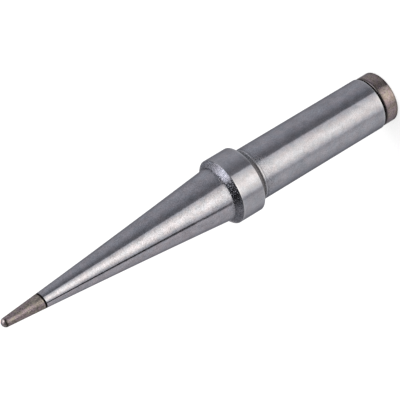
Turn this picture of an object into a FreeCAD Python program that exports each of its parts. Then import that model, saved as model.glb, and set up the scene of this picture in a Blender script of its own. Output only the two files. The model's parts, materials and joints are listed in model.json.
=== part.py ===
import FreeCAD, Part
import math
import os

# Soldering iron tip of the long conical pattern, with its temperature-sensing disc.
# It stands on the disc's rear face with the point up. +Z is the tip's axis, and the
# origin is the centre of that rear face. All sizes are in millimetres.

# Lengths along the axis, from the disc's rear face up to the point
DISC_THICKNESS = 1.53
NECK_LENGTH = 0.18
SHANK_LENGTH = 15.92
COLLAR_LENGTH = 3.24
REACH = 25.40
DOME_HEIGHT = 0.35

# Diameters
DISC_DIAMETER = 5.29
NECK_DIAMETER = 3.80
SHANK_DIAMETER = 5.44
COLLAR_DIAMETER = 6.80
TAPER_BASE_DIAMETER = 5.54
POINT_DIAMETER = 0.95

# The taper is slightly hollow: the middle of its outline lies this far inside a straight line
TAPER_HOLLOW = 0.055

# The collar's front is a cone that the barrel's lip clamps
COLLAR_FRONT_ANGLE = 45.0

# Relief behind the collar, so that the heater's sleeve seats on a clean shoulder
RELIEF_WIDTH = 0.73
RELIEF_DEPTH = 0.16
RELIEF_WALL_ANGLE = 60.0

# Broken edges
COLLAR_REAR_BREAK = 0.05
SHANK_REAR_BREAK = 0.10
DISC_FRONT_BREAK = 0.08
DISC_REAR_BREAK = 0.12

# The disc was tumbled, which leaves its rim very slightly crowned
DISC_RIM_CROWN = 0.01

# Where the chrome stops and the tinned working end starts: a fine line, cut slightly oblique
TINNED_LENGTH = 4.47
STOP_LINE_WIDTH = 0.10
STOP_LINE_DEPTH = 0.03
STOP_LINE_TILT = 6.0

ORIGIN = FreeCAD.Vector(0, 0, 0)
AXIS_X = FreeCAD.Vector(1, 0, 0)
AXIS_Y = FreeCAD.Vector(0, 1, 0)
AXIS_Z = FreeCAD.Vector(0, 0, 1)

# Heights that follow from the lengths
neck_rear = DISC_THICKNESS
shank_rear = neck_rear + NECK_LENGTH
collar_rear = shank_rear + SHANK_LENGTH
taper_base = collar_rear + COLLAR_LENGTH
dome_base = taper_base + REACH - DOME_HEIGHT
point = taper_base + REACH
stop_line = point - TINNED_LENGTH

# Radii that follow from the diameters
disc_radius = DISC_DIAMETER / 2
neck_radius = NECK_DIAMETER / 2
shank_radius = SHANK_DIAMETER / 2
collar_radius = COLLAR_DIAMETER / 2
taper_base_radius = TAPER_BASE_DIAMETER / 2
point_radius = POINT_DIAMETER / 2


def at(radius, height):
    """A point of a turned outline, in the half plane where X is the radius."""
    return FreeCAD.Vector(radius, 0, height)


def lines(*corners):
    """Straight edges from corner to corner."""
    return [Part.LineSegment(start, end).toShape() for start, end in zip(corners, corners[1:])]


def arc(start, middle, end):
    """One circular edge through three points."""
    return [Part.Arc(start, middle, end).toShape()]


def turned(edges):
    """The solid that a closed outline sweeps in one turn about the axis."""
    outline = Part.Face(Part.Wire(edges))
    return outline.revolve(ORIGIN, AXIS_Z, 360)


def shank_outline():
    """Outline from the neck's rear face over the shank and the relief to the collar's shoulder."""
    relief_rear = collar_rear - RELIEF_WIDTH
    wall_run = RELIEF_DEPTH / math.tan(math.radians(RELIEF_WALL_ANGLE))
    floor_radius = shank_radius - RELIEF_DEPTH
    # The corner under the shoulder slopes at 45 degrees, so the seat starts at the shank's own radius
    return lines(
        at(0, neck_rear),
        at(neck_radius, neck_rear),
        at(neck_radius, shank_rear),
        at(shank_radius - SHANK_REAR_BREAK, shank_rear),
        at(shank_radius, shank_rear + SHANK_REAR_BREAK),
        at(shank_radius, relief_rear),
        at(floor_radius, relief_rear + wall_run),
        at(floor_radius, collar_rear - RELIEF_DEPTH),
        at(shank_radius, collar_rear),
    )


def collar_outline():
    """Outline round the collar, from its rear shoulder over its rim to its coned front."""
    front_run = (collar_radius - taper_base_radius) / math.tan(math.radians(COLLAR_FRONT_ANGLE))
    return lines(
        at(shank_radius, collar_rear),
        at(collar_radius - COLLAR_REAR_BREAK, collar_rear),
        at(collar_radius, collar_rear + COLLAR_REAR_BREAK),
        at(collar_radius, taper_base - front_run),
        at(taper_base_radius, taper_base),
    )


def working_end_outline(inset=0.0):
    """Outline of the hollow taper and the domed point, with the radius less by inset."""
    base = at(taper_base_radius - inset, taper_base)
    end = at(point_radius - inset, dome_base)
    middle = (base + end) / 2 - AXIS_X * TAPER_HOLLOW
    tip = at(0, point - inset)
    # The dome's circle has its centre on the axis and passes through the taper's end and the tip
    half_width = end.x
    rise = tip.z - end.z
    dome_radius = (half_width ** 2 + rise ** 2) / (2 * rise)
    half_angle = math.atan2(half_width, dome_radius - rise) / 2
    dome_middle = at(
        dome_radius * math.sin(half_angle),
        tip.z - dome_radius + dome_radius * math.cos(half_angle),
    )
    return arc(base, middle, end) + arc(end, dome_middle, tip)


def stop_line_groove():
    """A thin oblique slab less what lies under the groove's floor."""
    reach_across = TAPER_BASE_DIAMETER
    slab = Part.makeBox(reach_across, reach_across, STOP_LINE_WIDTH)
    slab.translate(FreeCAD.Vector(-reach_across / 2, -reach_across / 2, -STOP_LINE_WIDTH / 2))
    slab.rotate(ORIGIN, AXIS_Y, -STOP_LINE_TILT)
    slab.translate(AXIS_Z * stop_line)
    base = at(taper_base_radius - STOP_LINE_DEPTH, taper_base)
    tip = at(0, point - STOP_LINE_DEPTH)
    floor = turned(working_end_outline(STOP_LINE_DEPTH) + lines(tip, at(0, taper_base), base))
    return slab.cut(floor)


def tip_body():
    """Shank, collar, taper and point, turned in one piece, with the plating's stop line."""
    outline = shank_outline() + collar_outline() + working_end_outline()
    outline += lines(at(0, point), at(0, neck_rear))
    return turned(outline).cut(stop_line_groove())


def sensor_disc():
    """The temperature-sensing disc, fixed face to face to the neck behind the shank."""
    rim_edge_radius = disc_radius - DISC_RIM_CROWN
    rim_rear = at(rim_edge_radius, DISC_REAR_BREAK)
    rim_front = at(rim_edge_radius, DISC_THICKNESS - DISC_FRONT_BREAK)
    rim_middle = at(disc_radius, (rim_rear.z + rim_front.z) / 2)
    faces = lines(
        rim_front,
        at(rim_edge_radius - DISC_FRONT_BREAK, DISC_THICKNESS),
        at(0, DISC_THICKNESS),
        ORIGIN,
        at(rim_edge_radius - DISC_REAR_BREAK, 0),
        rim_rear,
    )
    return turned(faces + arc(rim_rear, rim_middle, rim_front))


pieces = {
    "tip_body": tip_body(),
    "sensor_disc": sensor_disc(),
}

os.makedirs("parts", exist_ok=True)
for name, shape in pieces.items():
    shape.exportStep("parts/" + name + ".step")
    print(name, len(shape.Solids), "solid", round(shape.Volume, 3), "mm3", shape.isValid())
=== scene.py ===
"""Looks of a long conical soldering iron tip, which stands on its sensing disc with the point up."""
import json
import math

import bpy
import numpy as np
from mathutils import Matrix, Vector


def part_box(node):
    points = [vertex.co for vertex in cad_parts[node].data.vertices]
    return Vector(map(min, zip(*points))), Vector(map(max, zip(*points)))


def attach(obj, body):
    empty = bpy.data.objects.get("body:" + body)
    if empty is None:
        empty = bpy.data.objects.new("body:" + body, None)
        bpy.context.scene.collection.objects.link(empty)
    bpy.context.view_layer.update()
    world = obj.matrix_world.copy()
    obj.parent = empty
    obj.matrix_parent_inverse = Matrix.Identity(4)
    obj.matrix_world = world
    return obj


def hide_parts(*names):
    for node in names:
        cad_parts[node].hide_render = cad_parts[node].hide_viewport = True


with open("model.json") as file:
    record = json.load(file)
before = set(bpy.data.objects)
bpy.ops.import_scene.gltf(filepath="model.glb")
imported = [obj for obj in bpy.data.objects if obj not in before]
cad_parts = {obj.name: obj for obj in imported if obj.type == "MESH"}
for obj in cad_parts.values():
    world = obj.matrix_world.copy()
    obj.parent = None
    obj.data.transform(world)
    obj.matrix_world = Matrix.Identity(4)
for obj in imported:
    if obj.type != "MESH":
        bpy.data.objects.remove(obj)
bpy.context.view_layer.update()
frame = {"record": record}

MM = 0.001
MICRON = MM / 1000


# Sizes that the frame gives, in millimetres, with heights from the disc's rear face
mounts = {mount["name"]: mount for mount in frame["record"]["mounts"]}
shank_dims = mounts["shank"]["dims"]
shank_middle = mounts["shank"]["pos_m"][2] / MM
rim_dims = mounts["collar_rim"]["dims"]
rim_middle = mounts["collar_rim"]["pos_m"][2] / MM
body_low, body_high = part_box("tip_body")
disc_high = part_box("sensor_disc")[1]

shank_radius = shank_dims["r_mm"]
shank_start = shank_middle - shank_dims["length_mm"] / 2
relief_rear = shank_middle + shank_dims["length_mm"] / 2
collar_radius = rim_dims["r_mm"]
rim_start = rim_middle - rim_dims["length_mm"] / 2
rim_end = rim_middle + rim_dims["length_mm"] / 2
collar_seat = mounts["collar_seat"]["pos_m"][2] / MM
neck_rear = body_low.z / MM
point = body_high.z / MM
disc_radius = disc_high.x / MM
disc_front = disc_high.z / MM

# The other sizes of the tip's own form, in millimetres, and the stop line's tilt in degrees
NECK_RADIUS = 1.90
SHANK_REAR_BREAK = 0.10
RELIEF_DEPTH = 0.16
RELIEF_WALL_RUN = 0.092
TAPER_BASE_RADIUS = 2.77
POINT_RADIUS = 0.475
TAPER_HOLLOW = 0.055
DOME_HEIGHT = 0.35
TINNED_LENGTH = 4.47
STOP_LINE_WIDTH = 0.10
STOP_LINE_TILT = 6.0
DISC_REAR_BREAK = 0.12
DISC_FRONT_BREAK = 0.08
DISC_RIM_CROWN = 0.01
DISC_CROWN_RADIUS = 20.0

# Charred flux fills the stop line to this depth under the surface, and the near black of flux and painted
# shade covers a strip on both sides of it
FLUX_DEPTH = 0.010
FLUX_SPREAD = 0.05
# Scale covers the neck, and reaches this far out on the shank's rear face
SCALE_REACH = 0.30
# How softly one finish passes into the next along the axis, and how much longer three of them fade out
PASSING = 0.05
CHAMFER_FADE = 0.40
BRUSHED_FADE = 0.50
SCUFFED_LENGTH = 1.70
# A tool left a fine dull ring this far behind the relief
TOOL_RING = 0.21

shank_rear = shank_start - SHANK_REAR_BREAK
taper_base = rim_end + collar_radius - TAPER_BASE_RADIUS
dome_base = point - DOME_HEIGHT
stop_line = point - TINNED_LENGTH

# How finely the turned surfaces are divided, with the step of an arc in degrees
SEGMENTS = 288
ROW_STEP = 0.21
ARC_STEP = 15.0
DOME_ROWS = 14
# Extra rows lie this close to the ends of a straight side and to the collar's edges, to hold shading and wear
SUPPORT = 0.015
EDGE_ROW = 0.08
# Rings lean with the stop line fully up to the first distance from it, and not at all beyond the second
LEAN_FULL = 0.4
LEAN_NONE = 3.2
# Heights closer than this count as the same
HAIR = 0.001

# The body's finishes, in the order of its material slots
# The flux finish holds the stop line's flux and its painted shade
PLATE, TIN, FLUX, SCALE = range(4)

# Colours of the finishes
CHROME_COOL = (0.590, 0.607, 0.642, 1)
CHROME_WARM = (0.635, 0.610, 0.630, 1)
PIT_GREY = (0.16, 0.16, 0.18, 1)
# Black of the dark flakes by the chamfer's corner and of the painted shade at the collar's front edge
FLAKE_AND_SHADE_BLACK = (0.02, 0.02, 0.025, 1)
# Matt colours of the unpolished relief, darkened as painted shade of the recess; the blue one, for the upper
# side, is a painted reflection
DULL_SHADED_BROWN = (0.250, 0.232, 0.236, 1)
DULL_SHADED_BLUE = (0.224, 0.232, 0.262, 1)
# Light colour of real edge wear and of painted highlights on the plate's edges and rim
WORN_AND_HIGHLIT_CHROME = (0.95, 0.95, 0.94, 1)
TIN_BROWN = (0.340, 0.296, 0.267, 1)
TIN_STRAW = (0.54, 0.484, 0.413, 1)
TIN_PURPLE = (0.475, 0.385, 0.405, 1)
# Fresh tin on the dome, also used to paint its highlight
FRESH_TIN_HIGHLIGHT = (0.700, 0.620, 0.560, 1)
# Near black of the painted dark reflection round the dome's edge
DARK_REFLECTION_TIN = (0.016, 0.010, 0.009, 1)
# Near black of the stop line: charred flux and painted shade
FLUX_AND_SHADE_BLACK = (0.006, 0.005, 0.005, 1)
FLUX_AND_SHADE_BROWN = (0.020, 0.016, 0.014, 1)
SCALE_BLACK = (0.050, 0.038, 0.032, 1)
SCALE_BROWN = (0.125, 0.086, 0.066, 1)
ALLOY_BROWN = (0.41, 0.335, 0.290, 1)
ALLOY_PALE = (0.495, 0.430, 0.375, 1)
ALLOY_PINK = (0.47, 0.370, 0.390, 1)
# Dark colour of the painted shade on the disc's front edge, in the gap under the shank
ALLOY_GAP_SHADE = (0.11, 0.10, 0.095, 1)
ALLOY_WORN = (0.62, 0.55, 0.50, 1)
# Tints of the studio
WHITE = (1, 1, 1, 1)
CARD_COOL = (0.98, 0.985, 1.10, 1)
CARD_NEUTRAL = (0.99, 0.985, 1.04, 1)
CARD_WARM = (1.025, 0.985, 0.955, 1)
CARD_PINK = (1.02, 0.985, 0.985, 1)
TENT_BLUISH = (0.985, 0.995, 1.10, 1)
PAPER = (0.80, 0.80, 0.80, 1)

# The camera stands where the photograph was taken from. Angles are in degrees and lengths in millimetres
CAMERA_TILT = 25.136
CAMERA_TURN = 0.071
CAMERA_ROLL = 30.98
CAMERA_DISTANCE = 265.25
AIM_BEHIND = 1.603
AIM_ASIDE = -0.405
CAMERA_LENS = 250.8


# Outlines

def taper_radius(height):
    """Radius of the taper: a straight line from base to point, less a shallow hollow, a parabola."""
    share = np.clip((height - taper_base) / (dome_base - taper_base), 0, 1)
    straight = TAPER_BASE_RADIUS + (POINT_RADIUS - TAPER_BASE_RADIUS) * share
    return straight - 4 * TAPER_HOLLOW * share * (1 - share)


def corner_arc(before, corner, after, rounding):
    """Arc tangent to both sides of a corner: its directions turn evenly from one side's to the other's."""
    back = (before - corner) / np.linalg.norm(before - corner)
    ahead = (after - corner) / np.linalg.norm(after - corner)
    half = math.acos(np.clip(back @ ahead, -1, 1)) / 2
    centre = corner + (back + ahead) / np.linalg.norm(back + ahead) * rounding / math.sin(half)
    first = (corner + back * rounding / math.tan(half) - centre) / rounding
    last = (corner + ahead * rounding / math.tan(half) - centre) / rounding
    sweep = math.pi - 2 * half
    count = max(2, round(math.degrees(sweep) / ARC_STEP))
    share = np.linspace(0, 1, count + 1)[:, None]
    turned = (np.sin((1 - share) * sweep) * first + np.sin(share * sweep) * last) / math.sin(sweep)
    return centre + rounding * turned


def straight_rows(start, end):
    """Rows of a straight side: one close to each end, so that its shading stays flat, and even steps."""
    length = np.linalg.norm(end - start)
    if length < 4 * SUPPORT:
        return np.empty((0, 2))
    count = max(1, round(length / ROW_STEP))
    places = np.linspace(SUPPORT, length - SUPPORT, count + 1)
    return start + (end - start) * (places / length)[:, None]


def outline(corners):
    """Rows (radius, height) of a turned outline whose corners are (radius, height, rounding)."""
    points = np.array([corner[:2] for corner in corners], float)
    parts = [points[:1]]
    for index in range(1, len(corners)):
        rounding = corners[index][2]
        here = points[index:index + 1]
        if rounding > 0:
            here = corner_arc(points[index - 1], points[index], points[index + 1], rounding)
        parts += [straight_rows(parts[-1][-1], here[0]), here]
    return np.concatenate(parts)


def body_outline():
    """Neck, shank, relief, collar, taper with its stop line, and dome, from the rear to the point."""
    floor_radius = shank_radius - RELIEF_DEPTH
    groove_rear = stop_line - STOP_LINE_WIDTH / 2
    groove_front = stop_line + STOP_LINE_WIDTH / 2
    slope = STOP_LINE_WIDTH / 5
    flux_top = float(taper_radius(stop_line)) - FLUX_DEPTH
    return outline([
        (0, neck_rear, 0),
        (NECK_RADIUS, neck_rear, 0.02),
        (NECK_RADIUS, shank_rear, 0.04),
        (shank_radius - SHANK_REAR_BREAK, shank_rear, 0.04),
        (shank_radius, shank_start, 0.04),
        (shank_radius, relief_rear, 0.03),
        (floor_radius, relief_rear + RELIEF_WALL_RUN, 0.03),
        (floor_radius, collar_seat - RELIEF_DEPTH, 0.06),
        (shank_radius, collar_seat, 0.03),
        (collar_radius - (rim_start - collar_seat), collar_seat, 0.02),
        (collar_radius, rim_start, 0.05),
        (collar_radius, rim_start + EDGE_ROW, 0),
        (collar_radius, rim_end - EDGE_ROW, 0),
        (collar_radius, rim_end, 0.04),
        (collar_radius - EDGE_ROW, rim_end + EDGE_ROW, 0),
        (TAPER_BASE_RADIUS + EDGE_ROW, taper_base - EDGE_ROW, 0),
        (TAPER_BASE_RADIUS, taper_base, 0.06),
        (float(taper_radius(taper_base + EDGE_ROW)), taper_base + EDGE_ROW, 0),
        (float(taper_radius(groove_rear - FLUX_SPREAD)), groove_rear - FLUX_SPREAD, 0),
        (float(taper_radius(groove_rear)), groove_rear, 0.02),
        (flux_top, groove_rear + slope, 0.01),
        (flux_top, groove_front - slope, 0.01),
        (float(taper_radius(groove_front)), groove_front, 0.02),
        (float(taper_radius(groove_front + FLUX_SPREAD)), groove_front + FLUX_SPREAD, 0),
        (POINT_RADIUS, dome_base, 0),
    ])


def dome_rows():
    """Rows of the dome: a circle about a centre on the axis, from the taper's end to the point."""
    circle = (POINT_RADIUS ** 2 + DOME_HEIGHT ** 2) / (2 * DOME_HEIGHT)
    angles = np.linspace(math.asin(POINT_RADIUS / circle), 0, DOME_ROWS)[1:]
    return np.stack([circle * np.sin(angles), point - circle + circle * np.cos(angles)], axis=1)


# Meshes

def revolve(name, rows, materials, row_material, marks, lean=None):
    """A closed turned mesh: each row is a ring of radius r at height z, and both ends meet on the axis.

    marks gives each row's values of named attributes. lean moves the ring's points along the axis."""
    turn = np.arange(SEGMENTS) * (2 * math.pi / SEGMENTS)
    rings = rows[1:-1]
    radius = np.repeat(rings[:, :1], SEGMENTS, axis=1)
    height = np.repeat(rings[:, 1:], SEGMENTS, axis=1)
    if lean is not None:
        radius, height = lean(radius, height, turn)
    ring_points = np.stack([radius * np.cos(turn), radius * np.sin(turn), height], axis=2).reshape(-1, 3)
    poles = np.array([[0, 0, rows[0, 1]], [0, 0, rows[-1, 1]]])
    points = np.concatenate([ring_points, poles]) * MM
    count = len(rings)
    number = np.arange(count * SEGMENTS).reshape(count, SEGMENTS)
    onward = np.roll(number, -1, axis=1)
    quads = np.stack([number[:-1], onward[:-1], onward[1:], number[1:]], axis=2).reshape(-1, 4)
    rear_pole = np.full(SEGMENTS, count * SEGMENTS)
    rear_fan = np.stack([rear_pole, onward[0], number[0]], axis=1)
    front_fan = np.stack([number[-1], onward[-1], rear_pole + 1], axis=1)
    corners = np.concatenate([quads.ravel(), rear_fan.ravel(), front_fan.ravel()])
    sizes = np.concatenate([np.full(len(quads), 4), np.full(2 * SEGMENTS, 3)])
    starts = np.concatenate([[0], np.cumsum(sizes)[:-1]])
    mesh = bpy.data.meshes.new(name)
    mesh.vertices.add(len(points))
    mesh.vertices.foreach_set("co", points.ravel())
    mesh.loops.add(len(corners))
    mesh.loops.foreach_set("vertex_index", corners.astype(np.int32))
    mesh.polygons.add(len(sizes))
    mesh.polygons.foreach_set("loop_start", starts.astype(np.int32))
    mesh.polygons.foreach_set("use_smooth", np.ones(len(sizes), bool))
    for material in materials:
        mesh.materials.append(material)
    quad_material = np.repeat(row_material[1:-1], SEGMENTS)
    fan_material = np.repeat(row_material[[0, -1]], SEGMENTS)
    face_material = np.concatenate([quad_material, fan_material])
    mesh.polygons.foreach_set("material_index", face_material.astype(np.int32))
    for mark, values in marks.items():
        attribute = mesh.attributes.new(mark, "FLOAT", "POINT")
        everywhere = np.concatenate([np.repeat(values[1:-1], SEGMENTS), values[[0, -1]]])
        attribute.data.foreach_set("value", everywhere.astype(np.float32))
    mesh.update()
    mesh.validate()
    piece = bpy.data.objects.new(name, mesh)
    bpy.context.scene.collection.objects.link(piece)
    return piece


def near(height, place, reach):
    """1 at a place on the axis, falling in a bell to nothing a few reaches away."""
    return np.exp(-((height - place) / reach) ** 2)


def step(height, low, high):
    """0 below low, 1 above high and an even S between."""
    share = np.clip((height - low) / (high - low), 0, 1)
    return share * share * (3 - 2 * share)


def band(height, start, full, fading, end):
    """0 up to start, 1 from full to fading, and 0 again from end."""
    return step(height, start, full) * (1 - step(height, fading, end))


def lean_to_stop_line(radius, height, turn):
    """Rings near the stop line lean with it, and slide along the taper as they do."""
    share = 1 - step(np.abs(height - stop_line), LEAN_FULL, LEAN_NONE)
    rise = share * math.tan(math.radians(STOP_LINE_TILT)) * radius * np.cos(turn)
    moved = height + rise
    return radius + taper_radius(moved) - taper_radius(height), moved


def body_marks(height):
    """How strong each mark of making or use is at the rows' heights, in millimetres from the rear face."""
    # Edge wear and painted highlights: the collar's front edge, the rear edges of shank and relief and,
    # faintly, the whole rim are painted lighter
    edges = near(height, rim_end - 0.01, 0.06) * (1 - step(height, rim_end + 0.01, rim_end + PASSING))
    edges += near(height, shank_start - 0.01, 0.045) + 0.4 * near(height, relief_rear - 0.01, 0.04)
    edges += 0.11 * band(height, rim_start - PASSING, rim_start, rim_end, rim_end + PASSING)
    chamfer = step(height, rim_end - PASSING, rim_end + PASSING)
    chamfer *= 1 - step(height, taper_base - PASSING, taper_base + CHAMFER_FADE)
    scuffed = band(height, relief_rear - SCUFFED_LENGTH, relief_rear, relief_rear, relief_rear + PASSING)
    return {
        # Edge wear, with painted highlights on the plate
        "edge_wear_and_highlight": np.clip(edges, 0, 1),
        "coarse_grain": chamfer + 0.5 * scuffed,
        # Painted shade of the relief's recess, over its unpolished finish
        "unpolished_relief_shade": band(height, relief_rear, relief_rear + PASSING, collar_seat, rim_start),
        # Dark flakes along the corner between chamfer and taper
        "corner_flakes": near(height, taper_base - 0.035, 0.05),
        "brushed": step(height, taper_base, taper_base + BRUSHED_FADE),
        # Painted highlight on the collar's rear edge
        "rear_rim_highlight": near(height, rim_start + 0.03, 0.07),
        # Painted shade at the collar's front edge
        "front_rim_shade": near(height, rim_end, 0.035),
        # Painted highlight on the shank's broken rear edge
        "painted_matt_highlight": near(height, shank_start - 0.045, 0.045),
        # Fresh tin on the dome, and its painted highlight
        "wet_dome_highlight": step(height, dome_base, dome_base + PASSING),
        # Painted dark reflection round the dome's edge
        "dome_dark_reflection": near(height, dome_base + 0.02, 0.085),
    }


def tip_body(materials):
    """Neck, shank, collar, taper and dome as one turned surface, with the tinned end as its own finish."""
    rows = body_outline()
    off_stop_line = np.abs(rows[:, 1] - stop_line) > STOP_LINE_WIDTH / 2 + HAIR
    on_taper = (rows[:, 1] > taper_base) & off_stop_line
    rows[on_taper, 0] = taper_radius(rows[on_taper, 1])
    rows = np.concatenate([rows, dome_rows()])
    radius, height = ((rows[1:] + rows[:-1]) / 2).T
    finish = np.full(len(height), PLATE)
    finish[height > stop_line] = TIN
    # The flux finish, flux with painted shade, covers the stop line and a strip on both sides
    finish[np.abs(height - stop_line) < STOP_LINE_WIDTH / 2 + FLUX_SPREAD] = FLUX
    finish[(radius < NECK_RADIUS + SCALE_REACH) & (height < shank_rear + HAIR)] = SCALE
    return revolve("plated_tip_body", rows, materials, finish, body_marks(rows[:, 1]), lean_to_stop_line)


def sensor_disc(materials):
    """The sensing disc, with its slightly crowned rim and broken edges."""
    edge_radius = disc_radius - DISC_RIM_CROWN
    middle = (DISC_REAR_BREAK + disc_front - DISC_FRONT_BREAK) / 2
    rows = outline([
        (0, 0, 0),
        (edge_radius - DISC_REAR_BREAK, 0, 0.05),
        (edge_radius, DISC_REAR_BREAK, 0.06),
        (disc_radius, middle, DISC_CROWN_RADIUS),
        (edge_radius, disc_front - DISC_FRONT_BREAK, 0.05),
        (edge_radius - DISC_FRONT_BREAK, disc_front, 0.03),
        (0, disc_front, 0),
    ])
    height = rows[:, 1]
    # Painted shade on the disc's front edge, in the gap under the shank
    gap_shade = step(height, disc_front - 2.5 * DISC_FRONT_BREAK, disc_front - DISC_FRONT_BREAK)
    marks = {"edge_wear_and_highlight": near(height, DISC_REAR_BREAK, 0.05), "gap_shade": gap_shade}
    return revolve("turned_sensor_disc", rows, materials, np.zeros(len(rows) - 1, int), marks)


# Nodes

def put(tree, kind, inputs=(), **settings):
    """One shader node. Settings are set by name, and inputs, by name or number, are set or linked."""
    node = tree.nodes.new("ShaderNode" + kind)
    for setting, value in settings.items():
        setattr(node, setting, value)
    for socket, value in dict(inputs).items():
        if isinstance(value, bpy.types.NodeSocket):
            tree.links.new(value, node.inputs[socket])
        else:
            node.inputs[socket].default_value = value
    return node


def maths(tree, operation, *values, clamp=False):
    """The result of one sum on numbers or sockets."""
    return put(tree, "Math", enumerate(values), operation=operation, use_clamp=clamp).outputs[0]


def spread(tree, value, low, high, start=0.0, end=1.0):
    """A value between low and high, spread in an even S from start to end."""
    inputs = {"Value": value, "From Min": low, "From Max": high, "To Min": start, "To Max": end}
    return put(tree, "MapRange", inputs, interpolation_type="SMOOTHSTEP").outputs[0]


def blend(tree, share, first, second):
    """A colour between first and second."""
    return put(tree, "Mix", {0: share, 6: first, 7: second}, data_type="RGBA").outputs[2]


def in_millimetres(tree):
    """The object's own coordinates in millimetres."""
    place = put(tree, "TexCoord").outputs["Object"]
    return put(tree, "VectorMath", {0: place, "Scale": 1 / MM}, operation="SCALE").outputs[0]


def stretched(tree, place, across, along):
    """Coordinates scaled by across in X and Y and by along in Z."""
    return put(tree, "VectorMath", {0: place, 1: (across, across, along)}, operation="MULTIPLY").outputs[0]


def noise(tree, place, scale, detail=2.0, roughness=0.5, distortion=0.0):
    """Soft noise between 0 and 1, about 0.5."""
    inputs = {"Vector": place, "Scale": scale, "Detail": detail, "Roughness": roughness}
    inputs["Distortion"] = distortion
    return put(tree, "TexNoise", inputs).outputs["Fac"]


def helix(tree, place, turns_per_mm):
    """Coordinates on a unit cylinder that turns with the height, for marks that slant round the tip."""
    parts = put(tree, "SeparateXYZ", {0: place}).outputs
    level = put(tree, "CombineXYZ", {0: parts[0], 1: parts[1]}).outputs[0]
    unit = put(tree, "VectorMath", {0: level}, operation="NORMALIZE").outputs[0]
    angle = maths(tree, "MULTIPLY", parts[2], turns_per_mm)
    return put(tree, "VectorRotate", {"Vector": unit, "Angle": angle}, rotation_type="Z_AXIS").outputs[0]


def attribute(tree, name):
    """A value that the mesh carries at its points."""
    return put(tree, "Attribute", attribute_name=name).outputs["Fac"]


def weighted(tree, *pairs):
    """Sum of values times weights."""
    total = 0.0
    for value, weight in pairs:
        total = maths(tree, "MULTIPLY_ADD", value, weight, total)
    return total


def shaded(tree, colour, value):
    """A colour made lighter or darker by a factor."""
    return put(tree, "VectorMath", {0: colour, "Scale": value}, operation="SCALE").outputs[0]


def bumped(tree, microns):
    """A normal that follows heights given in microns."""
    return put(tree, "Bump", {"Strength": 1.0, "Distance": MICRON, "Height": microns}).outputs[0]


def metal(name):
    """A new metallic material: the material, its node tree and its surface."""
    material = bpy.data.materials.new(name)
    material.use_nodes = True
    surface = material.node_tree.nodes["Principled BSDF"]
    surface.inputs["Metallic"].default_value = 1.0
    return material, material.node_tree, surface


# Finishes

def chrome_edges(tree, aside, upper_side):
    """How much lighter with wear and painted highlight, how black with painted shade and how matt the plate's
    edges are.

    The collar's rear edge has a painted highlight on two sides. Its front edge has painted black shade
    towards +X. On the broken rear edge of the shank a matt white line is painted as a highlight."""
    # Painted highlight: the collar's rear edge is painted lighter on the +X side and on the far -X side
    highlit_sides = maths(tree, "MAXIMUM", upper_side, spread(tree, aside, -2.0, -1.3, 0.6, 0.0))
    rear_rim_highlight = maths(tree, "MULTIPLY", attribute(tree, "rear_rim_highlight"), highlit_sides)
    # Painted shade: the collar's front edge is painted black towards +X
    front_shade_depth = spread(tree, aside, 1.3, 2.6, 0.95, 0.6)
    front_shade_side = maths(tree, "MULTIPLY", spread(tree, aside, -0.2, 0.6), front_shade_depth)
    painted_front_shade = maths(tree, "MULTIPLY", attribute(tree, "front_rim_shade"), front_shade_side)
    # Painted highlight: a matt white line on the shank's broken rear edge
    painted_matt_highlight = attribute(tree, "painted_matt_highlight")
    wear_and_highlight = maths(tree, "MAXIMUM", attribute(tree, "edge_wear_and_highlight"), rear_rim_highlight)
    wear_and_highlight = maths(tree, "SUBTRACT", wear_and_highlight, painted_front_shade, clamp=True)
    return maths(tree, "MAXIMUM", wear_and_highlight, painted_matt_highlight), painted_front_shade, painted_matt_highlight


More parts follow.
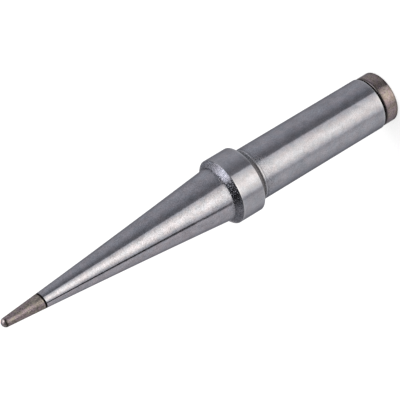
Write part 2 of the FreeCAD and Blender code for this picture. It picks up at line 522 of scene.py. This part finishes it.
def satin_chrome():
    """Hard chrome over ground copper: fine rings, slanting polish marks, blotches and a coarse chamfer.

    The relief behind the collar was never polished: there the plate is matt, and its colour is darkened as
    painted shade of the recess, bluer on the upper side as a painted reflection and browner on the lower
    side.
    The upper side is the one towards +X, which lies above in the photograph."""
    material, tree, surface = metal("satin_chrome_plate")
    surface.inputs["Specular Tint"].default_value = (0.75, 0.75, 0.75, 1)
    place = in_millimetres(tree)
    rings = noise(tree, stretched(tree, place, 0.25, 16.0), scale=1.0, detail=4.0, roughness=0.6)
    polish = noise(tree, helix(tree, place, 0.5), scale=14.0, roughness=0.6)
    peel = noise(tree, place, scale=1.5, detail=1.0, roughness=0.4, distortion=0.4)
    grain = noise(tree, place, scale=5.5, roughness=0.6)
    dust = noise(tree, place, scale=11.0, detail=1.0)
    blotch = noise(tree, stretched(tree, place, 1.0, 0.75), scale=1.15, distortion=0.5)
    tint = noise(tree, place, scale=1.3, roughness=0.6, distortion=0.5)
    aside, _, along = put(tree, "SeparateXYZ", {0: place}).outputs
    upper_side = spread(tree, aside, 0.4, 1.4)
    lower_side = spread(tree, aside, -1.0, 0.6, 1.0, 0.0)
    wear_and_highlight, painted_front_shade, painted_matt_highlight = chrome_edges(tree, aside, upper_side)
    coarse = attribute(tree, "coarse_grain")
    unpolished_relief_shade = attribute(tree, "unpolished_relief_shade")
    # Dark flakes along the inner corner between chamfer and taper, more towards +X
    flaked_side = spread(tree, aside, -0.8, 1.2, 0.35, 1.0)
    corner_flake_zone = maths(tree, "MULTIPLY", attribute(tree, "corner_flakes"), flaked_side)

    dents = spread(tree, dust, 0.56, 0.68)
    rough_cut = maths(tree, "MULTIPLY", coarse, maths(tree, "MULTIPLY_ADD", lower_side, -0.5, 1.0))
    grain_height = maths(tree, "MULTIPLY_ADD", rough_cut, 13.0, 1.2)
    dent_height = maths(tree, "MULTIPLY_ADD", rough_cut, -16.0, maths(tree, "MULTIPLY", corner_flake_zone, -26.0))
    polish_height = maths(tree, "MULTIPLY_ADD", rough_cut, 5.0, 1.0)
    height = weighted(tree, (rings, 1.2), (polish, polish_height), (peel, 6.0))
    height = maths(tree, "ADD", height, weighted(tree, (grain, grain_height), (dents, dent_height)))
    tree.links.new(bumped(tree, height), surface.inputs["Normal"])

    rough = weighted(tree, (blotch, 0.05), (grain, 0.04), (coarse, 0.06), (wear_and_highlight, -0.04), (unpolished_relief_shade, 0.35))
    # The painted matt highlight is rough and less metallic, so the even light shows it white
    rough = maths(tree, "MULTIPLY_ADD", painted_matt_highlight, 0.4, rough)
    rough = maths(tree, "ADD", rough, 0.075, clamp=True)
    tree.links.new(rough, surface.inputs["Roughness"])
    metallic = maths(tree, "SUBTRACT", 1.0, weighted(tree, (unpolished_relief_shade, 0.65), (painted_matt_highlight, 0.65)))
    tree.links.new(metallic, surface.inputs["Metallic"])

    plate = blend(tree, spread(tree, tint, 0.32, 0.68), CHROME_COOL, CHROME_WARM)
    brush_marks = maths(tree, "SUBTRACT", weighted(tree, (polish, 0.22), (dust, 0.50)), 0.36)
    brushed = maths(tree, "MULTIPLY", brush_marks, attribute(tree, "brushed"))
    value = weighted(tree, (blotch, 0.62), (grain, 0.34), (dust, 0.52), (brushed, 1.0))
    off_ring = maths(tree, "ABSOLUTE", maths(tree, "SUBTRACT", along, relief_rear - TOOL_RING))
    tool_ring = spread(tree, off_ring, 0.02, 0.10, -0.36, 0.0)
    plate = shaded(tree, plate, maths(tree, "ADD", value, maths(tree, "ADD", tool_ring, 0.26)))
    pits = maths(tree, "MULTIPLY", spread(tree, dust, 0.39, 0.53, 0.85, 0.0), coarse)
    plate = blend(tree, pits, plate, PIT_GREY)
    flakes = maths(tree, "MULTIPLY", spread(tree, grain, 0.47, 0.56, 0.0, 0.95), corner_flake_zone)
    # The corner flakes and the painted shade at the collar's front edge are laid on in black
    plate = blend(tree, maths(tree, "MAXIMUM", flakes, painted_front_shade), plate, FLAKE_AND_SHADE_BLACK)
    # Painted shade of the relief's recess, bluer on the upper side as a painted reflection
    dull = blend(tree, upper_side, DULL_SHADED_BROWN, DULL_SHADED_BLUE)
    relief_shade_share = maths(tree, "MULTIPLY", unpolished_relief_shade, spread(tree, aside, -1.5, -0.8, 0.75, 0.9))
    plate = blend(tree, relief_shade_share, plate, dull)
    # Edge wear and painted highlights lighten the edges
    colour = blend(tree, wear_and_highlight, plate, WORN_AND_HIGHLIT_CHROME)
    tree.links.new(colour, surface.inputs["Base Color"])
    return material


def tinned_iron():
    """The working end: a thin used coat of tin on iron, dull grey-brown with purple and straw patches.

    Part of it is oxide, so it is not fully metallic. Heat tinted it more towards the point and on the upper
    side. The dome has fresh tin, painted lighter towards +X as a highlight, and a painted dark reflection
    lies behind it."""
    material, tree, surface = metal("tinned_working_end")
    surface.inputs["Metallic"].default_value = 0.8
    surface.inputs["Specular Tint"].default_value = (0.3, 0.3, 0.3, 1)
    place = in_millimetres(tree)
    patch = noise(tree, place, scale=1.5, distortion=0.6)
    tint = noise(tree, stretched(tree, place, 1.0, 0.8), scale=2.2, roughness=0.6)
    lumps = noise(tree, place, scale=2.6, distortion=0.5)
    grain = noise(tree, place, scale=6.5, roughness=0.7)
    aside, _, along = put(tree, "SeparateXYZ", {0: place}).outputs
    # Fresh tin on the dome, painted lighter and smoother towards +X as a highlight
    wet_highlight = maths(tree, "MULTIPLY", attribute(tree, "wet_dome_highlight"), spread(tree, aside, 0.0, 0.15, 0.4, 1.0))
    heat_forward = spread(tree, along, stop_line + 0.2, stop_line + 3.2, -0.035, 0.08)
    heat = maths(tree, "ADD", spread(tree, aside, 0.1, 0.7, 0.0, 0.09), heat_forward)
    tint = maths(tree, "ADD", tint, heat)
    brown = blend(tree, spread(tree, patch, 0.40, 0.60), TIN_BROWN, TIN_STRAW)
    colour = blend(tree, spread(tree, tint, 0.48, 0.62, 0.0, 0.9), brown, TIN_PURPLE)
    value = weighted(tree, (grain, 1.8), (wet_highlight, 0.45))
    colour = shaded(tree, colour, maths(tree, "ADD", value, 0.115))
    colour = blend(tree, maths(tree, "MULTIPLY", wet_highlight, 0.75), colour, FRESH_TIN_HIGHLIGHT)
    # Painted dark reflection: a near black ring behind the dome, left out on its +X side
    dark_reflection_side = spread(tree, aside, 0.22, 0.38, 0.95, 0.0)
    dark_reflection = maths(tree, "MULTIPLY", attribute(tree, "dome_dark_reflection"), dark_reflection_side)
    colour = blend(tree, dark_reflection, colour, DARK_REFLECTION_TIN)
    tree.links.new(colour, surface.inputs["Base Color"])
    rough = weighted(tree, (grain, 0.34), (wet_highlight, -0.10))
    tree.links.new(maths(tree, "ADD", rough, 0.15), surface.inputs["Roughness"])
    height = weighted(tree, (lumps, 28.0), (grain, 30.0))
    tree.links.new(bumped(tree, height), surface.inputs["Normal"])
    return material


def stop_line_flux_and_shade():
    """The fine groove where the chrome stops, filled with charred flux and painted near black as its shade.
    """
    material, tree, surface = metal("flux_and_shade_in_stop_line")
    surface.inputs["Metallic"].default_value = 0.0
    surface.inputs["Specular IOR Level"].default_value = 0.05
    place = in_millimetres(tree)
    crust = noise(tree, place, scale=9.0, detail=3.0, roughness=0.6)
    # Near black for the flux and for the groove's painted shade
    colour = blend(tree, crust, FLUX_AND_SHADE_BLACK, FLUX_AND_SHADE_BROWN)
    tree.links.new(colour, surface.inputs["Base Color"])
    surface.inputs["Roughness"].default_value = 0.7
    tree.links.new(bumped(tree, maths(tree, "MULTIPLY", crust, 8.0)), surface.inputs["Normal"])
    return material


def scaled_neck():
    """The neck and the inner part of the shank's rear face: unplated copper, dark with scale."""
    material, tree, surface = metal("scaled_copper_neck")
    place = in_millimetres(tree)
    scale = noise(tree, place, scale=3.0, detail=3.0, roughness=0.6)
    colour = blend(tree, scale, SCALE_BLACK, SCALE_BROWN)
    tree.links.new(colour, surface.inputs["Base Color"])
    surface.inputs["Roughness"].default_value = 0.6
    tree.links.new(bumped(tree, maths(tree, "MULTIPLY", scale, 10.0)), surface.inputs["Normal"])
    return material


def turned_alloy():
    """The sensing disc's nickel-iron alloy: turning rings under a light brown tarnish, and painted shade in
    front.
    """
    material, tree, surface = metal("turned_sensor_alloy")
    place = in_millimetres(tree)
    rings = noise(tree, stretched(tree, place, 0.3, 14.0), scale=1.0, detail=3.0, roughness=0.6)
    tarnish = noise(tree, place, scale=1.1, detail=3.0, roughness=0.6, distortion=0.7)
    tint = noise(tree, place, scale=1.9, roughness=0.6)
    grain = noise(tree, place, scale=6.0, roughness=0.7)
    wear_and_highlight = attribute(tree, "edge_wear_and_highlight")
    gap_shade = attribute(tree, "gap_shade")
    worn_through = spread(tree, tarnish, 0.35, 0.68)
    brown = blend(tree, worn_through, ALLOY_BROWN, ALLOY_PALE)
    brown = blend(tree, spread(tree, tint, 0.44, 0.60, 0.0, 0.8), brown, ALLOY_PINK)
    value = weighted(tree, (grain, 1.75), (rings, 0.24))
    brown = shaded(tree, brown, maths(tree, "ADD", value, 0.02))
    # Painted shade in the gap darkens the disc's front edge
    brown = blend(tree, maths(tree, "MULTIPLY", gap_shade, 0.8), brown, ALLOY_GAP_SHADE)
    colour = blend(tree, maths(tree, "MULTIPLY", wear_and_highlight, 0.4), brown, ALLOY_WORN)
    tree.links.new(colour, surface.inputs["Base Color"])
    rough = weighted(tree, (grain, 0.22), (tarnish, 0.14))
    tree.links.new(maths(tree, "ADD", rough, 0.10), surface.inputs["Roughness"])
    height = weighted(tree, (rings, 2.5), (tarnish, 6.0), (grain, 5.0))
    tree.links.new(bumped(tree, height), surface.inputs["Normal"])
    return material


# Studio

# Grey level of the card on the floor, by azimuth in degrees: 0 is the camera's side and 90 is +X
SURROUND = (
    (-180, 0.46), (-172, 0.42), (-163, 0.22), (-150, 0.21), (-128, 0.322), (-106, 0.41), (-80, 0.47),
    (-62, 0.43), (-57, 0.47), (-50, 0.60), (-38, 0.91), (-23, 1.17), (-11, 1.20), (0, 1.02),
    (12, 0.82), (21, 0.67), (25.5, 0.60), (29, 0.16), (46, 0.162), (60, 0.242), (74, 0.310),
    (89, 0.355), (128, 0.36), (152, 0.28), (163, 0.25), (172, 0.42), (180, 0.46),
)
# Grey level of the dim room between the floor's far edge and the panels
ROOM = (
    (-180, 0.26), (-136, 0.22), (-100, 0.16), (-62, 0.13), (-40, 0.19), (-18, 0.40), (0, 0.36),
    (22, 0.17), (32, 0.10), (62, 0.13), (96, 0.22), (130, 0.32), (180, 0.26),
)
# Grey level of the studio's upper half: the key panel stands between 30 and 120 degrees
OVERHEAD = (
    (-180, 0.24), (-136, 0.22), (-107, 0.215), (-97, 0.20), (-86, 0.11), (-77, 0.024), (0, 0.024),
    (26, 0.035), (38, 1.05), (57, 1.43), (71, 1.98), (83, 1.58), (95, 1.06), (107, 0.56),
    (119, 0.40), (136, 0.32), (180, 0.24),
)
# How much lighter the floor is close to the foot and far out, by the same azimuth
NEAR_FOOT = (
    (-180, 1.04), (-150, 1.07), (-56, 1.07), (-46, 0.95), (-30, 0.915), (10, 0.915), (28, 0.95),
    (60, 1.00), (180, 1.00),
)
FAR_OUT = ((-180, 1.30), (-130, 1.30), (-95, 1.00), (28, 1.00), (50, 0.95), (100, 0.97), (180, 1.00))
# No level in these tables is higher than this
LEVEL_LIMIT = 2.0
# Zones of the card by distance from the tip's axis: where each begins and where it is full
NEAR_ZONE = (0.034, 0.010)
OUT_ZONE = (0.032, 0.046)
FAR_ZONE = (0.040, 0.075)
FARTHEST_ZONE = (0.080, 0.110)
# Under the disc the card is shaded, and it is at full strength from just outside its rim
FOOT_ZONE = (0.0027, 0.0031)
FOOT_SHADE = 0.35
# Elevations in degrees over which the room passes into the upper half, and that into the plain grey crown
OVERHEAD_FROM = (20.0, 34.0)
CROWN_FROM = (70.0, 78.0)
CROWN_GREY = 0.40
# Sizes of the studio, in metres like the zones, and the divisions of its round pieces
TENT_RADIUS = 0.6
CARD_HEIGHT = 0.00002
FLOOR_HALF = 2.5
CARD_SIDES = 64
TENT_SIDES = 96
TENT_RINGS = 24
# Light: the floor's own glow where it is seen, the even light from all round, and the key lamp
FLOOR_GLOW = 0.60
AMBIENT = 0.50
KEY_POWER = 0.9
KEY_SIZE = 0.5
KEY_AZIMUTH = 75
KEY_ELEVATION = 48
KEY_DISTANCE = 0.55


def stage_piece(name, points, faces, material):
    """A mesh that belongs to the studio and not to the tip."""
    mesh = bpy.data.meshes.new(name)
    mesh.from_pydata(points, [], faces)
    mesh.materials.append(material)
    piece = bpy.data.objects.new(name, mesh)
    bpy.context.scene.collection.objects.link(piece)
    return piece


def for_reflections_only(piece):
    """The piece shows in glossy surfaces, and neither lights nor hides anything else."""
    piece.visible_camera = False
    piece.visible_diffuse = False
    piece.visible_transmission = False
    piece.visible_volume_scatter = False
    piece.visible_shadow = False


def seen_directly(tree):
    """1 for what the camera sees, straight on, in gloss or through glass, and 0 for stray light."""
    path = put(tree, "LightPath").outputs
    total = maths(tree, "ADD", path["Is Camera Ray"], path["Is Glossy Ray"])
    return maths(tree, "ADD", total, path["Is Transmission Ray"], clamp=True)


def grey_by_azimuth(tree, azimuth, levels):
    """Grey level from a list of (azimuth, level), in straight lines between. A ramp's colours end at 1."""
    share = put(tree, "MapRange", {"Value": azimuth, "From Min": -180.0, "From Max": 180.0}).outputs[0]
    ramp_node = put(tree, "ValToRGB", {0: share})
    ramp = ramp_node.color_ramp
    ramp.elements.remove(ramp.elements[1])
    for index, (angle, level) in enumerate(levels):
        place = (angle + 180) / 360
        element = ramp.elements[0] if index == 0 else ramp.elements.new(place)
        element.position = place
        grey = level / LEVEL_LIMIT
        element.color = (grey, grey, grey, 1)
    return maths(tree, "MULTIPLY", ramp_node.outputs[0], LEVEL_LIMIT)


def glow(name):
    """A new material that only glows: the material, its node tree and its emission."""
    material = bpy.data.materials.new(name)
    material.use_nodes = True
    tree = material.node_tree
    tree.nodes.remove(tree.nodes["Principled BSDF"])
    emission = put(tree, "Emission")
    tree.links.new(emission.outputs[0], tree.nodes["Material Output"].inputs["Surface"])
    material.cycles.emission_sampling = "NONE"
    return material, tree, emission


def directions(tree):
    """Azimuth and elevation in degrees, and distance from the axis in metres, of a point of the studio."""
    parts = put(tree, "SeparateXYZ", {0: put(tree, "TexCoord").outputs["Object"]}).outputs
    toward = maths(tree, "MULTIPLY", parts[1], -1.0)
    azimuth = maths(tree, "DEGREES", maths(tree, "ARCTAN2", parts[0], toward))
    squares = maths(tree, "MULTIPLY_ADD", parts[0], parts[0], maths(tree, "MULTIPLY", parts[1], parts[1]))
    away = maths(tree, "SQRT", squares)
    elevation = maths(tree, "DEGREES", maths(tree, "ARCTAN2", parts[2], away))
    return azimuth, elevation, away


def floor_colour(tree, level):
    """Warm where the card is bright and cool where it is dark."""
    darker = blend(tree, spread(tree, level, 0.28, 0.45), CARD_COOL, CARD_NEUTRAL)
    return blend(tree, spread(tree, level, 0.5, 1.0), darker, CARD_WARM)


def mirrored_azimuth(tree, azimuth, away):
    """Azimuth at which the shank mirrors a point of the floor. Near the shank its own width turns the ray.

    With share = shank radius / distance, it turns by arcsine(share * sine of half the sought azimuth)."""
    share = maths(tree, "MINIMUM", maths(tree, "DIVIDE", shank_radius * MM, away), 0.95)
    half = maths(tree, "DIVIDE", azimuth, maths(tree, "SUBTRACT", 2.0, share))
    sine = maths(tree, "MULTIPLY", share, maths(tree, "SINE", maths(tree, "RADIANS", half)))
    return maths(tree, "ADD", azimuth, maths(tree, "DEGREES", maths(tree, "ARCSINE", sine)))


def card_gap(tree, azimuth, away):
    """How dark the gap between two sheets of the card is. It drifts in azimuth and deepens with distance."""
    middle = spread(tree, away, 0.045, 0.090, -57.0, -62.3)
    off_middle = maths(tree, "ABSOLUTE", maths(tree, "SUBTRACT", azimuth, middle))
    off_middle = maths(tree, "MULTIPLY", off_middle, spread(tree, away, 0.110, 0.150, 1.0, 0.8))
    depth = spread(tree, away, 0.020, 0.115, 0.10, 0.97)
    return maths(tree, "MULTIPLY", spread(tree, off_middle, 3.8, 6.6, 1.0, 0.0), depth)


def floor_card():
    """Grey card that lies round the tip on the floor, with a thin dark gap between two of its sheets."""
    material, tree, emission = glow("grey_card_glow")
    seen_from_middle, _, away = directions(tree)
    azimuth = mirrored_azimuth(tree, seen_from_middle, away)
    far = spread(tree, away, *FAR_ZONE)
    # Far out, the card's sides drift in azimuth, by a few degrees at most, and its bright part gets brighter
    drift = maths(tree, "MULTIPLY_ADD", azimuth, 0.11, 1.6)
    drift = maths(tree, "MAXIMUM", maths(tree, "MINIMUM", drift, 6.0), -4.0)
    level = grey_by_azimuth(tree, maths(tree, "MULTIPLY_ADD", far, drift, azimuth), SURROUND)
    bright = spread(tree, level, 0.6, 1.1, 0.0, 0.15)
    glare = maths(tree, "MULTIPLY", bright, spread(tree, away, *FARTHEST_ZONE))
    level = maths(tree, "MULTIPLY", level, maths(tree, "ADD", glare, 1.0))
    for zone, factors in ((NEAR_ZONE, NEAR_FOOT), (OUT_ZONE, FAR_OUT)):
        factor = maths(tree, "SUBTRACT", grey_by_azimuth(tree, azimuth, factors), 1.0)
        factor = maths(tree, "MULTIPLY_ADD", factor, spread(tree, away, *zone), 1.0)
        level = maths(tree, "MULTIPLY", level, factor)
    level = maths(tree, "MULTIPLY", level, maths(tree, "SUBTRACT", 1.0, card_gap(tree, azimuth, away)))
    contact = spread(tree, away, *FOOT_ZONE, FOOT_SHADE, 1.0)
    pinkish = maths(tree, "MULTIPLY", spread(tree, azimuth, -75.0, -40.0, 1.0, 0.0), far)
    pink = blend(tree, pinkish, WHITE, CARD_PINK)
    colour = put(tree, "VectorMath", {0: floor_colour(tree, level), 1: pink}, operation="MULTIPLY").outputs[0]
    tree.links.new(colour, emission.inputs["Color"])
    tree.links.new(maths(tree, "MULTIPLY", level, contact), emission.inputs["Strength"])
    turn = np.linspace(0, 2 * math.pi, CARD_SIDES + 1)[:-1]
    circle = [TENT_RADIUS * np.cos(turn), TENT_RADIUS * np.sin(turn), np.full(CARD_SIDES, CARD_HEIGHT)]
    corners = np.stack(circle, axis=1).tolist()
    for_reflections_only(stage_piece("grey_floor_card", corners, [list(range(CARD_SIDES))], material))


def light_tent():
    """Half-sphere over the tip: a dim room low down, and above it the key panel on +X among dark cloth."""
    material, tree, emission = glow("light_tent_glow")
    azimuth, elevation, _ = directions(tree)
    low = grey_by_azimuth(tree, azimuth, ROOM)
    high = grey_by_azimuth(tree, azimuth, OVERHEAD)
    crown = spread(tree, elevation, *CROWN_FROM)
    high = maths(tree, "MULTIPLY_ADD", maths(tree, "SUBTRACT", CROWN_GREY, high), crown, high)
    rise = spread(tree, elevation, *OVERHEAD_FROM)
    level = maths(tree, "MULTIPLY_ADD", maths(tree, "SUBTRACT", high, low), rise, low)
    emission.inputs["Color"].default_value = TENT_BLUISH
    tree.links.new(level, emission.inputs["Strength"])
    turn = np.linspace(0, 2 * math.pi, TENT_SIDES + 1)[:-1]
    lift = np.linspace(0, math.pi / 2, TENT_RINGS + 1)[:-1]
    level_turn, level_lift = np.meshgrid(turn, lift)
    shell = np.stack([
        TENT_RADIUS * np.cos(level_lift) * np.cos(level_turn),
        TENT_RADIUS * np.cos(level_lift) * np.sin(level_turn),
        TENT_RADIUS * np.sin(level_lift),
    ], axis=2).reshape(-1, 3)
    number = np.arange(len(shell)).reshape(len(lift), len(turn))
    onward = np.roll(number, -1, axis=1)
    quads = np.stack([number[:-1], onward[:-1], onward[1:], number[1:]], axis=2).reshape(-1, 4)
    top = [number[-1].tolist()]
    for_reflections_only(stage_piece("light_tent", shell.tolist(), quads.tolist() + top, material))


def pale_floor():
    """Plain pale floor that reads as white paper and keeps the tip's soft shadow."""
    material = bpy.data.materials.new("pale_floor_paper")
    material.use_nodes = True
    tree = material.node_tree
    paper = tree.nodes["Principled BSDF"]
    paper.inputs["Base Color"].default_value = PAPER
    paper.inputs["Roughness"].default_value = 0.9
    paper.inputs["Specular IOR Level"].default_value = 0.0
    strength = maths(tree, "MULTIPLY", seen_directly(tree), FLOOR_GLOW)
    light = put(tree, "Emission", {"Strength": strength})
    both = put(tree, "AddShader", {0: paper.outputs[0], 1: light.outputs[0]})
    tree.links.new(both.outputs[0], tree.nodes["Material Output"].inputs["Surface"])
    material.cycles.emission_sampling = "NONE"
    half = FLOOR_HALF
    corners = [(-half, -half, 0), (half, -half, 0), (half, half, 0), (-half, half, 0)]
    stage_piece("pale_floor", corners, [(0, 1, 2, 3)], material)


def white_surroundings():
    """World that is white wherever it shows and an even plain grey as light."""
    world = bpy.data.worlds.new("white_surroundings")
    bpy.context.scene.world = world
    world.use_nodes = True
    tree = world.node_tree
    background = tree.nodes["Background"]
    background.inputs["Color"].default_value = WHITE
    strength = spread(tree, seen_directly(tree), 0.0, 1.0, AMBIENT, 1.0)
    tree.links.new(strength, background.inputs["Strength"])


def key_light():
    """Large soft lamp behind the tent's bright panel. The panel is what shows in the metal."""
    lamp = bpy.data.lights.new("key_light", "AREA")
    lamp.shape = "SQUARE"
    lamp.size = KEY_SIZE
    lamp.energy = KEY_POWER
    piece = bpy.data.objects.new("key_light", lamp)
    bpy.context.scene.collection.objects.link(piece)
    azimuth, elevation = math.radians(KEY_AZIMUTH), math.radians(KEY_ELEVATION)
    away = Vector((
        math.sin(azimuth) * math.cos(elevation),
        -math.cos(azimuth) * math.cos(elevation),
        math.sin(elevation),
    ))
    piece.location = away * KEY_DISTANCE
    piece.rotation_euler = away.to_track_quat("Z", "Y").to_euler()
    piece.visible_glossy = False
    piece.visible_camera = False


def camera():
    """Camera at the photograph's place. It looks down on the tip and is rolled: the point lies low left."""
    tilt, turn, roll = (math.radians(angle) for angle in (CAMERA_TILT, CAMERA_TURN, CAMERA_ROLL))
    rearward = Vector((-math.sin(turn), -math.sin(tilt) * math.cos(turn), -math.cos(tilt) * math.cos(turn)))
    aside = Vector((math.cos(turn), -math.sin(tilt) * math.sin(turn), -math.cos(tilt) * math.sin(turn)))
    back = Vector((0, -math.cos(tilt), math.sin(tilt)))
    right = rearward * math.cos(roll) - aside * math.sin(roll)
    up = rearward * math.sin(roll) + aside * math.cos(roll)
    aim = Vector((0, 0, taper_base)) - rearward * AIM_BEHIND - aside * AIM_ASIDE
    lens = bpy.data.cameras.new("camera")
    lens.lens = CAMERA_LENS
    lens.sensor_width = 36.0
    lens.clip_start = 0.01
    lens.clip_end = 20.0
    piece = bpy.data.objects.new("camera", lens)
    bpy.context.scene.collection.objects.link(piece)
    place = Matrix((right, up, back)).transposed().to_4x4()
    place.translation = (aim + back * CAMERA_DISTANCE) * MM
    piece.matrix_world = place
    bpy.context.scene.camera = piece


camera()

body_piece = tip_body([satin_chrome(), tinned_iron(), stop_line_flux_and_shade(), scaled_neck()])
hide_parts("tip_body")
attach(body_piece, "root")

disc_piece = sensor_disc([turned_alloy()])
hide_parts("sensor_disc")
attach(disc_piece, "root")

pale_floor()
floor_card()
light_tent()
white_surroundings()
key_light()

bpy.context.scene.view_settings.view_transform = "Standard"
